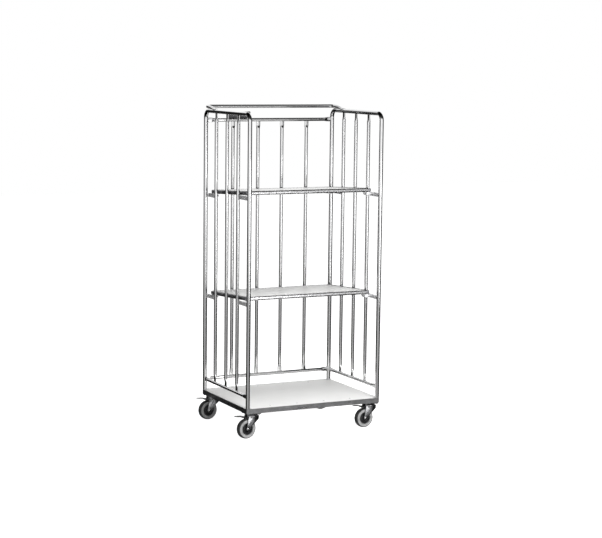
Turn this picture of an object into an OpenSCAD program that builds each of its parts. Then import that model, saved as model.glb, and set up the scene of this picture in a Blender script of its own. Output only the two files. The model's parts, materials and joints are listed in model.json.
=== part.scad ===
// Barred linen and luggage trolley: steel deck frame on four braked swivel casters, barred
// side and back panels of bent tube, open front, two sloping drop-in shelves.
// Millimetres. X across, Y to the back, Z up. Origin on the floor under the middle of the
// whole trolley, casters included.

/* [Overall] */
// deck frame width
frame_w = 750; // [600:10:1000]
// deck frame depth
frame_d = 570; // [450:10:800]
// deck frame height
frame_h = 25; // [20:1:40]
// height of the caster, floor to frame
caster_h = 130; // [110:1:180]
// overall height, floor to the top of the rear rail
cart_h = 1640; // [1200:10:1900]

/* [Tubes] */
// outside diameter of the bent side frame tube
post_d = 22; // [18:1:30]
// outside diameter of bars and rails
bar_d = 18; // [12:1:22]
// tube wall
wall = 1.5; // [1:0.1:3]
// centre line radius of the side frame bends
bend_r = 36; // [30:1:80]
// width of a pressed flat tube end
flat_w = 23; // [19:0.5:26]
// thickness of a pressed flat tube end
flat_t = 7; // [4:0.5:12]
// length of the pressed flat
flat_l = 24; // [10:1:40]
// length over which the flat runs out to round
flat_run = 18; // [8:1:30]
// vent hole in each closed tube
vent_d = 4; // [3:0.5:6]

/* [Panels] */
// axis of the lower rails above the deck
low_rail = 57; // [40:1:120]
// axis of the back panel's upper rail below the side frame's top axis
high_rail = 49; // [30:1:100]
// spacing of the side bars
side_pitch = 137; // [100:1:200]
// distance of the inner back bars from the middle
back_in = 69; // [50:1:100]
// distance of the outer back bars from the middle
back_out = 212; // [150:1:260]
// forward reach of the rear rail's legs
leg_run = 134; // [80:1:200]
// fall of the rear rail's legs
leg_fall = 14; // [8:1:20]

/* [Deck] */
// thickness of the angle section
angle_t = 3; // [2:0.5:5]
// width of the angle's flat leg
angle_leg = 32; // [25:1:50]
// side of the corner blocks
block = 30; // [26:1:40]
// deck board thickness
deck_t = 15; // [12:1:22]
// width of a bearer
bearer_w = 30; // [20:1:50]
// distance of the outer bearers from the middle
bearer_out = 225; // [150:5:260]
// distance of the inner bearers from the middle
bearer_in = 75; // [40:5:120]

/* [Shelves] */
// shelf width over the side profiles
shelf_w = 700; // [500:5:700]
// shelf depth over the edge profiles
shelf_d = 466; // [300:2:480]
// slope of the shelf, front edge high
shelf_tilt = 3.4; // [0:0.1:6]
// height of the middle of the upper shelf's top
upper_z = 1217; // [900:1:1400]
// height of the middle of the lower shelf's top
lower_z = 692; // [400:1:800]
// how far the shelf sits behind the middle of the deck
shelf_back = 17; // [0:1:30]
// height of the edge profiles
edge_h = 20; // [14:1:30]
// depth of the edge profiles
edge_w = 14; // [8:1:25]
// shelf board thickness
shelf_t = 12; // [8:1:19]
// radius of the shelf corners
corner_r = 24; // [16:1:40]
// peg diameter
peg_d = 12; // [8:1:14]
// distance of the pegs from the shelf middle, front to back
peg_y = 222; // [150:1:225]
// peg axis below the top of the edge profiles
peg_drop = 27; // [25:1:35]
// width of a peg bracket
peg_block = 18; // [12:1:30]
// support plate height
sup_h = 25; // [20:1:40]
// support plate thickness
sup_t = 4; // [3:0.5:6]

/* [Casters] */
// wheel diameter
wheel_d = 100; // [80:1:125]
// tyre width
tyre_w = 32; // [25:1:40]
// tyre thickness
tyre_t = 20; // [8:1:24]
// swivel axis from the middle, across
cast_x = 332; // [250:1:335]
// swivel axis from the middle, front to back
cast_y = 245; // [180:1:245]
// trail of the wheel behind the swivel axis
trail = 29; // [20:1:40]
// side of the square top plate
plate_s = 80; // [70:1:110]
// bolt spacing of the top plate
bolt_s = 60; // [50:1:80]
// rest angle of the front left caster
turn_fl = 8; // [-180:1:180]
// rest angle of the front right caster
turn_fr = 4; // [-180:1:180]
// rest angle of the back left caster
turn_bl = 6; // [-180:1:180]
// rest angle of the back right caster
turn_br = -4; // [-180:1:180]

/* [Label] */
// label plate width
label_w = 128; // [60:1:200]
// label plate height
label_h = 34; // [20:1:60]
// middle of the label plate
label_x = -178; // [-250:1:250]

/* [Hidden] */
$fn = 64;
eps = 0.5;
hx = frame_w / 2;
hy = frame_d / 2;
px = hx - post_d / 2;
py = hy - post_d / 2;
post_r = post_d / 2;
bar_r = bar_d / 2;
deck_z = caster_h + frame_h;
rear_z = cart_h - bar_r;
top_z = rear_z - bar_r - post_r - 1;
low_z = deck_z + low_rail;
high_z = top_z - high_rail;
axle_z = wheel_d / 2;
board_z = deck_z - deck_t;
flange_z = caster_h + angle_t;
fork_in = 19;
leg_t = 3;
crown_z = 113;
pin_r = 6;
axle_r = 4;
run_gap = 0.05;
pedal_x = -13;
pedal_z = 107.5;
pedal_pin_r = 2.5;
// The wheels and pedals reach out past the left side of the deck, so everything is moved
// across by mid_x, which puts the origin under the middle of the whole trolley.
tip_reach = trail + 68;
tip_half = 6.78;
mid_x = (cast_x + tip_reach * cos(turn_bl) + tip_half * sin(turn_bl) - hx) / 2;

// ---- shared shapes ----

module centred() {
    translate([mid_x, 0, 0]) children();
}

module at_corners(x, y) {
    for (sx = [-1, 1]) {
        for (sy = [-1, 1]) {
            translate([sx * x, sy * y, 0]) children();
        }
    }
}

// What is left outside a rounded corner of radius r, at the four corners of a 2x by 2y plate.
module corner_waste(x, y, r, z, h) {
    for (sx = [-1, 1]) {
        for (sy = [-1, 1]) {
            difference() {
                translate([sx * x, sy * y, z + h / 2]) cube([2 * r, 2 * r, h], center = true);
                translate([sx * (x - r), sy * (y - r), z - 1]) cylinder(h = h + 2, r = r);
            }
        }
    }
}

// Flat section of a pressed tube end: wide in Y, thin in X.
module flat_section(w, t) {
    square([t, w - t], center = true);
    translate([0, (w - t) / 2]) circle(d = t);
    translate([0, -(w - t) / 2]) circle(d = t);
}

// Pressed end, from its tip at z = 0 up to the round tube.
module pressed_end() {
    linear_extrude(flat_l) flat_section(flat_w, flat_t);
    translate([0, 0, flat_l]) intersection() {
        cylinder(h = flat_run, r1 = flat_w / 2, r2 = bar_r);
        rotate([90, 0, 0]) translate([0, 0, -flat_w]) linear_extrude(2 * flat_w)
            polygon([[-flat_t / 2, 0], [flat_t / 2, 0], [bar_r, flat_run], [-bar_r, flat_run]]);
    }
}

// Tube along Z from z = 0 to len, both ends pressed flat.
module pressed_tube(len) {
    ends = flat_l + flat_run;
    pressed_end();
    translate([0, 0, len]) mirror([0, 0, 1]) pressed_end();
    difference() {
        translate([0, 0, ends]) cylinder(h = len - 2 * ends, r = bar_r);
        translate([0, 0, ends + 4]) cylinder(h = len - 2 * ends - 8, r = bar_r - wall);
        translate([0, 0, ends + 12]) rotate([0, 90, 0]) cylinder(h = bar_d, d = vent_d);
    }
}

// Quarter bend in the YZ plane, centre at the origin, from +Y round to +Z.
module quarter(r, tr) {
    rotate([90, 0, 90]) rotate_extrude(angle = 90) translate([r, 0]) circle(r = tr);
}

// ---- deck ----

module angle_side(len, depth) {
    // one rail along X, its outer face at y = 0, running inward to +Y
    translate([-len / 2, 0, caster_h]) cube([len, angle_t, frame_h]);
    translate([-len / 2, 0, caster_h]) cube([len, depth, angle_t]);
}

module deck_frame() color([0.5, 0.52, 0.54]) centred() {
    difference() {
        union() {
            translate([0, -hy, 0]) angle_side(frame_w, angle_leg);
            rotate([0, 0, 180]) translate([0, -hy, 0]) angle_side(frame_w, angle_leg);
            rotate([0, 0, 90]) translate([0, -hx, 0]) angle_side(frame_d, angle_leg);
            rotate([0, 0, -90]) translate([0, -hx, 0]) angle_side(frame_d, angle_leg);
            for (sx = [-1, 1]) {
                for (sy = [-1, 1]) {
                    translate([sx * (hx - block / 2), sy * (hy - block / 2), caster_h + frame_h / 2])
                        cube([block, block, frame_h], center = true);
                }
            }
        }
        at_corners(px, py) translate([0, 0, caster_h + 12]) cylinder(h = frame_h, r = 5);
        at_corners(cast_x, cast_y) at_corners(bolt_s / 2, bolt_s / 2)
            translate([0, 0, caster_h - 1]) cylinder(h = 10, r = 4.2);
        corner_waste(hx, hy, post_r, caster_h - 1, frame_h + 2);
    }
}

// Corner plates between the angle legs; the casters bolt to them.
module caster_gussets() color([0.5, 0.52, 0.54]) centred() {
    reach = 92;
    difference() {
        at_corners(hx - angle_leg - reach / 2, hy - angle_leg - reach / 2)
            translate([-reach / 2, -reach / 2, caster_h]) cube([reach, reach, angle_t]);
        at_corners(cast_x, cast_y) at_corners(bolt_s / 2, bolt_s / 2)
            translate([0, 0, caster_h - 1]) cylinder(h = angle_t + 2, r = 4.2);
        at_corners(cast_x, cast_y) translate([0, 0, caster_h - 1]) cylinder(h = angle_t + 2, r = 9);
    }
}

module deck_bearers() color([0.5, 0.52, 0.54]) centred() {
    len = frame_d - 2 * angle_t;
    difference() {
        for (x = [-bearer_out, -bearer_in, bearer_in, bearer_out]) {
            translate([x - bearer_w / 2, -len / 2, flange_z]) cube([bearer_w, len, board_z - flange_z]);
        }
        screw_places() translate([0, 0, flange_z - 1]) cylinder(h = 20, r = 2.5);
    }
}

module screw_places() {
    for (x = [-bearer_out, -bearer_in, bearer_in, bearer_out]) {
        for (y = [-0.42, 0.42]) {
            translate([x, y * frame_d, 0]) children();
        }
    }
}

module deck_board() color([0.86, 0.85, 0.81]) centred() {
    gap = 0.5;
    w = frame_w - 2 * angle_t - 2 * gap;
    d = frame_d - 2 * angle_t - 2 * gap;
    difference() {
        translate([-w / 2, -d / 2, board_z]) cube([w, d, deck_t]);
        for (sx = [-1, 1]) {
            for (sy = [-1, 1]) {
                translate([sx * hx, sy * hy, deck_z - deck_t / 2])
                    cube([2 * block + 2 * gap, 2 * block + 2 * gap, deck_t + 2], center = true);
            }
        }
        screw_places() translate([0, 0, board_z - 1]) cylinder(h = deck_t + 2, r = 2.5);
        screw_places() translate([0, 0, deck_z - 2.5]) cylinder(h = 3, r1 = 2.5, r2 = 5.5);
    }
}

module deck_screws() color([0.75, 0.75, 0.76]) centred() {
    screw_places() {
        translate([0, 0, flange_z + 1]) cylinder(h = deck_z - flange_z - 3, r = 2.5);
        translate([0, 0, deck_z - 2.5]) cylinder(h = 2.5, r1 = 2.5, r2 = 5);
    }
}

// ---- side frames ----

// Path of the inverted U at x = 0, tube radius r, foot at z = foot.
module u_path(r, foot) {
    leg = top_z - bend_r - foot;
    for (sy = [-1, 1]) {
        translate([0, sy * py, foot]) cylinder(h = leg, r = r);
    }
    translate([0, py - bend_r, top_z - bend_r]) quarter(bend_r, r);
    mirror([0, 1, 0]) translate([0, py - bend_r, top_z - bend_r]) quarter(bend_r, r);
    translate([0, py - bend_r, top_z]) rotate([90, 0, 0]) cylinder(h = 2 * (py - bend_r), r = r);
}

module side_frame() {
    difference() {
        u_path(post_r, deck_z);
        u_path(post_r - wall, deck_z - 1);
    }
}

module left_side_frame() color([0.8, 0.81, 0.82]) centred() {
    translate([-px, 0, 0]) side_frame();
}

module right_side_frame() color([0.8, 0.81, 0.82]) centred() {
    translate([px, 0, 0]) side_frame();
}

module post_plugs() color([0.6, 0.6, 0.62]) centred() {
    at_corners(px, py) difference() {
        translate([0, 0, deck_z]) cylinder(h = 30, r = post_r - wall);
        translate([0, 0, deck_z - 1]) cylinder(h = 26, r = 5);
    }
}

// Studs screwed into the corner blocks; the posts' plugs screw down on to them.
module post_studs() color([0.7, 0.7, 0.72]) centred() {
    at_corners(px, py) translate([0, 0, caster_h + 12]) cylinder(h = frame_h + 8, r = 5);
}

// Cut for a pressed end that meets the side of a post or of the top rail.
module lower_rail() {
    len = 2 * py;
    difference() {
        translate([0, -py, low_z]) rotate([-90, 0, 0]) pressed_tube(len);
        for (sy = [-1, 1]) {
            translate([0, sy * py, low_z - 40]) cylinder(h = 80, r = post_r);
        }
    }
}

module left_lower_rail() color([0.6, 0.61, 0.63]) centred() {
    translate([-px, 0, 0]) lower_rail();
}

module right_lower_rail() color([0.6, 0.61, 0.63]) centred() {
    translate([px, 0, 0]) lower_rail();
}

module side_bars() {
    for (k = [-1, 0, 1]) {
        difference() {
            translate([0, k * side_pitch, low_z]) pressed_tube(top_z - low_z);
            translate([0, k * side_pitch - 30, low_z]) rotate([-90, 0, 0]) cylinder(h = 60, r = bar_r);
            translate([0, k * side_pitch - 30, top_z]) rotate([-90, 0, 0]) cylinder(h = 60, r = post_r);
        }
    }
}

module left_bars() color([0.83, 0.84, 0.85]) centred() {
    translate([-px, 0, 0]) side_bars();
}

module right_bars() color([0.83, 0.84, 0.85]) centred() {
    translate([px, 0, 0]) side_bars();
}

// ---- back panel ----

module back_rail(z) {
    difference() {
        translate([-px, py, z]) rotate([0, 90, 0]) rotate([0, 0, 90]) pressed_tube(2 * px);
        for (sx = [-1, 1]) {
            translate([sx * px, py, z - 40]) cylinder(h = 80, r = post_r);
        }
    }
}

module back_upper_rail() color([0.78, 0.79, 0.8]) centred() {
    back_rail(high_z);
}

module back_lower_rail() color([0.6, 0.61, 0.63]) centred() {
    back_rail(low_z);
}

module back_bars() color([0.83, 0.84, 0.85]) centred() {
    for (x = [-back_out, -back_in, back_in, back_out]) {
        difference() {
            translate([x, py, low_z]) rotate([0, 0, 90]) pressed_tube(high_z - low_z);
            translate([x - 30, py, low_z]) rotate([0, 90, 0]) cylinder(h = 60, r = bar_r);
            translate([x - 30, py, high_z]) rotate([0, 90, 0]) cylinder(h = 60, r = bar_r);
        }
    }
}

// Tube across the back over the side frames; each end turns forward and slopes down on to the
// side rail, its underside pressed flat where it meets the rail's top.
module rear_leg() {
    turn = 26;
    run = leg_run - turn;
    slope = atan(leg_fall / run);
    rail_top = top_z + post_r;
    difference() {
        translate([px, py - turn + 1.2, rear_z]) rotate([90 + slope, 0, 0])
            cylinder(h = run, r = bar_r - 0.3);
        translate([px - 20, py - 2 * leg_run, rail_top - 40]) cube([40, 2 * leg_run, 40]);
    }
    translate([px - turn, py - turn, rear_z])
        rotate_extrude(angle = 90) translate([turn, 0]) circle(r = bar_r);
}

module rear_top_rail() color([0.8, 0.81, 0.82]) centred() {
    turn = 26;
    half = px - turn;
    difference() {
        translate([-half, py, rear_z]) rotate([0, 90, 0]) cylinder(h = 2 * half, r = bar_r);
        translate([-half + 20, py, rear_z]) rotate([0, 90, 0])
            cylinder(h = 2 * half - 40, r = bar_r - wall);
        translate([0, py, rear_z - bar_d]) cylinder(h = bar_d, d = vent_d);
    }
    rear_leg();
    mirror([1, 0, 0]) rear_leg();
}

module label_plate() color([0.05, 0.05, 0.06]) centred() {
    r = 4;
    difference() {
        translate([label_x - label_w / 2, py - 1, high_z + bar_r])
            cube([label_w, 2, label_h]);
        for (sx = [-1, 1]) {
            translate([label_x + sx * (label_w / 2 - 8), py - 5, high_z + bar_r + label_h - 8])
                rotate([-90, 0, 0]) cylinder(h = 10, r = 1.6);
        }
    }
    for (sx = [-1, 1]) {
        translate([label_x + sx * 40, py, high_z]) difference() {
            rotate([0, 90, 0]) translate([0, 0, -7]) cylinder(h = 14, r = bar_r + 1.5);
            rotate([0, 90, 0]) translate([0, 0, -8]) cylinder(h = 16, r = bar_r);
            translate([-10, -20, -20]) cube([20, 40, 13]);
        }
    }
}

// ---- shelf supports ----

function peg_world_y(s) = shelf_back + s * peg_y * cos(shelf_tilt) - peg_drop * sin(shelf_tilt);
function peg_world_z(zc, s) = zc - s * peg_y * sin(shelf_tilt) - peg_drop * cos(shelf_tilt);

// Plate between a post and the next bar, s = -1 at the front, 1 at the back.
module support(zc, s) {
    depth = s < 0 ? 4.5 : 12;
    yr = peg_world_y(s);
    zr = peg_world_z(zc, s);
    top = zr + depth;
    difference() {
        translate([-sup_t / 2, s > 0 ? side_pitch : -py, top - sup_h])
            cube([sup_t, py - side_pitch, sup_h]);
        translate([-sup_t, yr, zr]) rotate([0, 90, 0]) cylinder(h = 2 * sup_t, r = peg_d / 2 + 0.4);
        translate([-sup_t, yr - peg_d / 2 - 0.4, zr]) cube([2 * sup_t, peg_d + 0.8, 30]);
        translate([0, s * py, top - 2 * sup_h]) cylinder(h = 3 * sup_h, r = post_r);
        translate([0, s * side_pitch, top - 2 * sup_h]) cylinder(h = 3 * sup_h, r = bar_r);
        translate([-sup_t, s > 0 ? side_pitch + bar_r + 8 : -py + post_r + 8, top - sup_h - 1])
            cube([2 * sup_t, py - side_pitch - bar_r - post_r - 16, 5]);
    }
}

module supports(zc) {
    for (sx = [-1, 1]) {
        translate([sx * px, 0, 0]) {
            support(zc, -1);
            support(zc, 1);
        }
    }
}

module upper_supports() color([0.62, 0.63, 0.65]) centred() {
    supports(upper_z);
}

module lower_supports() color([0.62, 0.63, 0.65]) centred() {
    supports(lower_z);
}

// ---- shelves ----
// Each shelf is drawn level with the top of its edge at z = 0, then sloped into place.

module place_shelf(zc) {
    translate([0, shelf_back, zc]) rotate([-shelf_tilt, 0, 0]) children();
}

module shelf_board() {
    w = shelf_w - 2 * edge_w;
    d = shelf_d - 2 * edge_w;
    c = corner_r - edge_w;
    difference() {
        translate([-w / 2, -d / 2, -2 - shelf_t]) cube([w, d, shelf_t]);
        at_corners(w / 2, d / 2) translate([0, 0, -10 - shelf_t])
            cube([2 * c, 2 * c, 4 * shelf_t], center = true);
    }
    at_corners(w / 2 - c, d / 2 - c) translate([0, 0, -2 - shelf_t]) cylinder(h = shelf_t, r = c);
}

// Half-round nosed edge section: outer face at x = 0, running inward to -x.
module edge_section() {
    r = edge_w / 2;
    translate([-edge_w, -edge_h]) square([edge_w / 2, edge_h]);
    translate([-edge_w / 2, -edge_h + r]) square([r, edge_h - 2 * r]);
    translate([-r, -r]) circle(r = r);
    translate([-r, -edge_h + r]) circle(r = r);
}

module long_profiles() {
    len = shelf_w - 2 * corner_r;
    for (sy = [-1, 1]) {
        rotate([0, 0, sy < 0 ? 0 : 180]) translate([-len / 2, -shelf_d / 2, 0])
            rotate([90, 0, 90]) mirror([1, 0, 0]) linear_extrude(len) edge_section();
    }
}

module side_profiles() {
    len = shelf_d - 2 * corner_r;
    for (sx = [-1, 1]) {
        rotate([0, 0, sx > 0 ? 0 : 180]) translate([shelf_w / 2, len / 2, 0])
            rotate([90, 0, 0]) linear_extrude(len) edge_section();
    }
}

module corner_caps() {
    for (sx = [0, 1]) {
        for (sy = [0, 1]) {
            mirror([sx, 0, 0]) mirror([0, sy, 0])
                translate([shelf_w / 2 - corner_r, shelf_d / 2 - corner_r, 0])
                    rotate_extrude(angle = 90) translate([corner_r, 0]) edge_section();
        }
    }
}

// Four short pegs, each in a bracket under the board beside the side profile.
module pegs() {
    reach = px + sup_t / 2 + 1.5;
    in_x = shelf_w / 2 - edge_w - 1 - peg_block;
    low = -peg_drop - peg_d / 2 - 2;
    for (sx = [-1, 1]) {
        for (s = [-1, 1]) {
            translate([sx > 0 ? in_x + 4 : -reach, s * peg_y, -peg_drop]) rotate([0, 90, 0])
                cylinder(h = reach - in_x - 4, r = peg_d / 2);
            difference() {
                union() {
                    translate([sx > 0 ? in_x : -in_x - peg_block, s > 0 ? 190 : -208.5, low])
                        cube([peg_block, 18.5, -2 - shelf_t - low]);
                    translate([sx > 0 ? in_x : -in_x - peg_block, s > 0 ? 208 : -231, low])
                        cube([peg_block, 23, -edge_h - 0.6 - low]);
                }
                translate([sx > 0 ? in_x + 4 : -reach, s * peg_y, -peg_drop]) rotate([0, 90, 0])
                    cylinder(h = reach - in_x - 4, r = peg_d / 2 - 0.2);
            }
        }
    }
}

module upper_shelf_board() color([0.86, 0.85, 0.81]) centred() {
    place_shelf(upper_z) shelf_board();
}

module upper_shelf_long_profiles() color([0.82, 0.83, 0.84]) centred() {
    place_shelf(upper_z) long_profiles();
}

module upper_shelf_side_profiles() color([0.3, 0.31, 0.32]) centred() {
    place_shelf(upper_z) side_profiles();
}

module upper_shelf_corner_caps() color([0.25, 0.25, 0.26]) centred() {
    place_shelf(upper_z) corner_caps();
}

module upper_shelf_pegs() color([0.7, 0.7, 0.72]) centred() {
    place_shelf(upper_z) pegs();
}

module lower_shelf_board() color([0.86, 0.85, 0.81]) centred() {
    place_shelf(lower_z) shelf_board();
}

module lower_shelf_long_profiles() color([0.82, 0.83, 0.84]) centred() {
    place_shelf(lower_z) long_profiles();
}

module lower_shelf_side_profiles() color([0.3, 0.31, 0.32]) centred() {
    place_shelf(lower_z) side_profiles();
}

module lower_shelf_corner_caps() color([0.25, 0.25, 0.26]) centred() {
    place_shelf(lower_z) corner_caps();
}

module lower_shelf_pegs() color([0.7, 0.7, 0.72]) centred() {
    place_shelf(lower_z) pegs();
}

// ---- casters ----
// Each is drawn about its swivel axis with the wheel trailing towards -X.

module caster_plates() color([0.72, 0.72, 0.73]) centred() {
    at_corners(cast_x, cast_y) difference() {
        union() {
            difference() {
                translate([-plate_s / 2, -plate_s / 2, caster_h - 3]) cube([plate_s, plate_s, 3]);
                corner_waste(plate_s / 2, plate_s / 2, 8, caster_h - 4, 5);
            }
            translate([0, 0, caster_h - 9]) cylinder(h = 6, r1 = 32, r2 = 34);
        }
        at_corners(bolt_s / 2, bolt_s / 2) translate([0, 0, caster_h - 4]) cylinder(h = 5, r = 4.2);
        translate([0, 0, caster_h - 10]) cylinder(h = 12, r = pin_r);
        translate([0, 0, caster_h - 10]) cylinder(h = 5, r = 24);
    }
}

module caster_bolts() color([0.75, 0.75, 0.76]) centred() {
    at_corners(cast_x, cast_y) at_corners(bolt_s / 2, bolt_s / 2) {
        translate([0, 0, caster_h - 3]) cylinder(h = 9, r = 4);
        translate([0, 0, caster_h - 8]) cylinder(h = 5, r = 6.5, $fn = 6);
    }
}

// Three nuts to a caster: the bolt at the deck's corner screws into the corner block.
module caster_nuts() color([0.75, 0.75, 0.76]) centred() {
    b = bolt_s / 2;
    for (sx = [-1, 1]) {
        for (sy = [-1, 1]) {
            for (k = [[-1, -1], [-1, 1], [1, -1]]) {
                translate([sx * (cast_x + k[0] * b), sy * (cast_y + k[1] * b), flange_z])
                    difference() {
                        cylinder(h = 5, r = 6.5, $fn = 6);
                        translate([0, 0, -1]) cylinder(h = 8, r = 4);
                    }
            }
        }
    }
}

// Riveted kingpin: shank, head under the crown, head over the top plate.
module kingpins() color([0.6, 0.6, 0.62]) centred() {
    at_corners(cast_x, cast_y) {
        translate([0, 0, crown_z - 4.5]) cylinder(h = caster_h + 2 - crown_z + 4.5, r = pin_r);
        translate([0, 0, caster_h]) cylinder(h = 3, r1 = 8.5, r2 = 7);
        translate([0, 0, crown_z - 5]) cylinder(h = 4.6, r1 = 7, r2 = 9);
    }
}

// Outline of one fork leg, x along the trail, y up.
module leg_outline() {
    polygon([[-trail - 10, axle_z + 4], [-26, crown_z], [-20, crown_z + 4], [30, crown_z + 4],
        [33, crown_z - 2], [30, 96], [4, 74], [-trail + 10, axle_z - 5]]);
    translate([-trail, axle_z]) circle(r = 11);
}

module fork() {
    difference() {
        union() {
            for (sy = [-1, 1]) {
                translate([0, sy * (fork_in + leg_t / 2) + leg_t / 2, 0])
                    rotate([90, 0, 0]) linear_extrude(leg_t) leg_outline();
            }
            translate([-20, -fork_in - eps, crown_z]) cube([50, 2 * fork_in + 2 * eps, 4]);
            translate([0, 0, crown_z]) cylinder(h = 7.4, r = 34);
            translate([27, -fork_in - eps, 92]) cube([3, 2 * fork_in + 2 * eps, 22]);
        }
        translate([0, 0, crown_z - 1]) cylinder(h = 10, r = pin_r + run_gap);
        translate([0, 0, crown_z + 4]) difference() {
            cylinder(h = 5, r = 30);
            translate([0, 0, -1]) cylinder(h = 7, r = 12);
        }
        translate([-trail, 30, axle_z]) rotate([90, 0, 0]) cylinder(h = 60, r = axle_r);
        translate([pedal_x, 30, pedal_z]) rotate([90, 0, 0]) cylinder(h = 60, r = pedal_pin_r);
    }
}

module axle() {
    w = 2 * (fork_in + leg_t);
    translate([-trail, w / 2 + 8, axle_z]) rotate([90, 0, 0]) cylinder(h = w + 13, r = axle_r);
    translate([-trail, -w / 2, axle_z]) rotate([90, 0, 0]) cylinder(h = 5, r = 7.5, $fn = 6);
    difference() {
        translate([-trail, w / 2 + 6, axle_z]) rotate([90, 0, 0]) cylinder(h = 6, r = 7.5, $fn = 6);
        translate([-trail, w / 2 + 7, axle_z]) rotate([90, 0, 0]) cylinder(h = 8, r = axle_r - eps);
    }
}

// Wheel centre: hub, thin web and rim, turned about the axle.
module wheel_core() {
    rim = wheel_d / 2 - tyre_t;
    hub = fork_in - 1;
    translate([-trail, 0, axle_z]) rotate([90, 0, 0]) rotate_extrude()
        polygon([[axle_r + run_gap, -hub], [11, -hub], [12, -8], [rim - 6, -7], [rim - 4, -13],
            [rim, -13], [rim, 13], [rim - 4, 13], [rim - 6, 7], [12, 8], [11, hub],
            [axle_r + run_gap, hub]]);
}

module tyre() {
    rim = wheel_d / 2 - tyre_t;
    out = wheel_d / 2;
    h = tyre_w / 2;
    translate([-trail, 0, axle_z]) rotate([90, 0, 0]) rotate_extrude()
        polygon([[rim, -13], [rim + 1, -h + 1], [out - 7, -h], [out - 2, -h + 4], [out, -h + 9],
            [out, h - 9], [out - 2, h - 4], [out - 7, h], [rim + 1, h - 1], [rim, 13]]);
}

// Side outline of the pedal: pivot eye, arm over the tyre, pad sloping up to the tip.
module pedal_outline() {
    polygon([[pedal_x - 3, pedal_z - 3.5], [pedal_x + 3, pedal_z - 2], [pedal_x + 3, pedal_z + 3],
        [pedal_x - 8, pedal_z + 4], [-36, 112], [-52, 116], [-trail - 67, 119], [-trail - 68, 117],
        [-60, 110], [-48, 104.5], [-30, 104]]);
    translate([pedal_x, pedal_z]) circle(r = 4.5);
}

module pedal() {
    difference() {
        intersection() {
            translate([0, 17, 0]) rotate([90, 0, 0]) linear_extrude(34) pedal_outline();
            linear_extrude(200) polygon([[10, -17], [-70, -17], [-trail - 60, -13],
                [-trail - 69, -6], [-trail - 69, 6], [-trail - 60, 13], [-70, 17], [10, 17]]);
        }
        translate([pedal_x, 30, pedal_z]) rotate([90, 0, 0])
            cylinder(h = 60, r = pedal_pin_r + run_gap);
        translate([0, 0, crown_z - 9]) cylinder(h = 12, r = 10.5);
    }
}

module pedal_pin() {
    w = 2 * (fork_in + leg_t);
    translate([pedal_x, w / 2 + 0.5, pedal_z]) rotate([90, 0, 0])
        cylinder(h = w + 1, r = pedal_pin_r);
    for (sy = [-1, 1]) {
        translate([pedal_x, sy * (w / 2 + 0.75) + 0.75, pedal_z]) rotate([90, 0, 0])
            cylinder(h = 1.5, r = 4);
    }
}

module place_fl() {
    translate([mid_x - cast_x, -cast_y, 0]) rotate([0, 0, turn_fl]) children();
}

module place_fr() {
    translate([mid_x + cast_x, -cast_y, 0]) rotate([0, 0, turn_fr]) children();
}

module place_bl() {
    translate([mid_x - cast_x, cast_y, 0]) rotate([0, 0, turn_bl]) children();
}

module place_br() {
    translate([mid_x + cast_x, cast_y, 0]) rotate([0, 0, turn_br]) children();
}

module fl_fork() color([0.72, 0.72, 0.73]) place_fl() fork();
module fl_axle() color([0.75, 0.75, 0.76]) place_fl() axle();
module fl_wheel_core() color([0.06, 0.06, 0.07]) place_fl() wheel_core();
module fl_tyre() color([0.45, 0.46, 0.47]) place_fl() tyre();
module fl_pedal() color([0.65, 0.66, 0.68]) place_fl() pedal();
module fl_pedal_pin() color([0.6, 0.6, 0.62]) place_fl() pedal_pin();
module fr_fork() color([0.72, 0.72, 0.73]) place_fr() fork();
module fr_axle() color([0.75, 0.75, 0.76]) place_fr() axle();
module fr_wheel_core() color([0.06, 0.06, 0.07]) place_fr() wheel_core();
module fr_tyre() color([0.45, 0.46, 0.47]) place_fr() tyre();
module fr_pedal() color([0.65, 0.66, 0.68]) place_fr() pedal();
module fr_pedal_pin() color([0.6, 0.6, 0.62]) place_fr() pedal_pin();
module bl_fork() color([0.72, 0.72, 0.73]) place_bl() fork();
module bl_axle() color([0.75, 0.75, 0.76]) place_bl() axle();
module bl_wheel_core() color([0.06, 0.06, 0.07]) place_bl() wheel_core();
module bl_tyre() color([0.45, 0.46, 0.47]) place_bl() tyre();
module bl_pedal() color([0.65, 0.66, 0.68]) place_bl() pedal();
module bl_pedal_pin() color([0.6, 0.6, 0.62]) place_bl() pedal_pin();
module br_fork() color([0.72, 0.72, 0.73]) place_br() fork();
module br_axle() color([0.75, 0.75, 0.76]) place_br() axle();
module br_wheel_core() color([0.06, 0.06, 0.07]) place_br() wheel_core();
module br_tyre() color([0.45, 0.46, 0.47]) place_br() tyre();
module br_pedal() color([0.65, 0.66, 0.68]) place_br() pedal();
module br_pedal_pin() color([0.6, 0.6, 0.62]) place_br() pedal_pin();

deck_frame();
caster_gussets();
deck_bearers();
deck_board();
deck_screws();
left_side_frame();
right_side_frame();
post_plugs();
post_studs();
left_lower_rail();
right_lower_rail();
left_bars();
right_bars();
back_upper_rail();
back_lower_rail();
back_bars();
rear_top_rail();
label_plate();
upper_supports();
lower_supports();
upper_shelf_board();
upper_shelf_long_profiles();
upper_shelf_side_profiles();
upper_shelf_corner_caps();
upper_shelf_pegs();
lower_shelf_board();
lower_shelf_long_profiles();
lower_shelf_side_profiles();
lower_shelf_corner_caps();
lower_shelf_pegs();
caster_plates();
caster_bolts();
caster_nuts();
kingpins();
fl_fork();
fl_axle();
fl_wheel_core();
fl_tyre();
fl_pedal();
fl_pedal_pin();
fr_fork();
fr_axle();
fr_wheel_core();
fr_tyre();
fr_pedal();
fr_pedal_pin();
bl_fork();
bl_axle();
bl_wheel_core();
bl_tyre();
bl_pedal();
bl_pedal_pin();
br_fork();
br_axle();
br_wheel_core();
br_tyre();
br_pedal();
br_pedal_pin();
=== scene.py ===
import json
import math

import bmesh
import bpy
from mathutils import Matrix, Vector, noise


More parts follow.
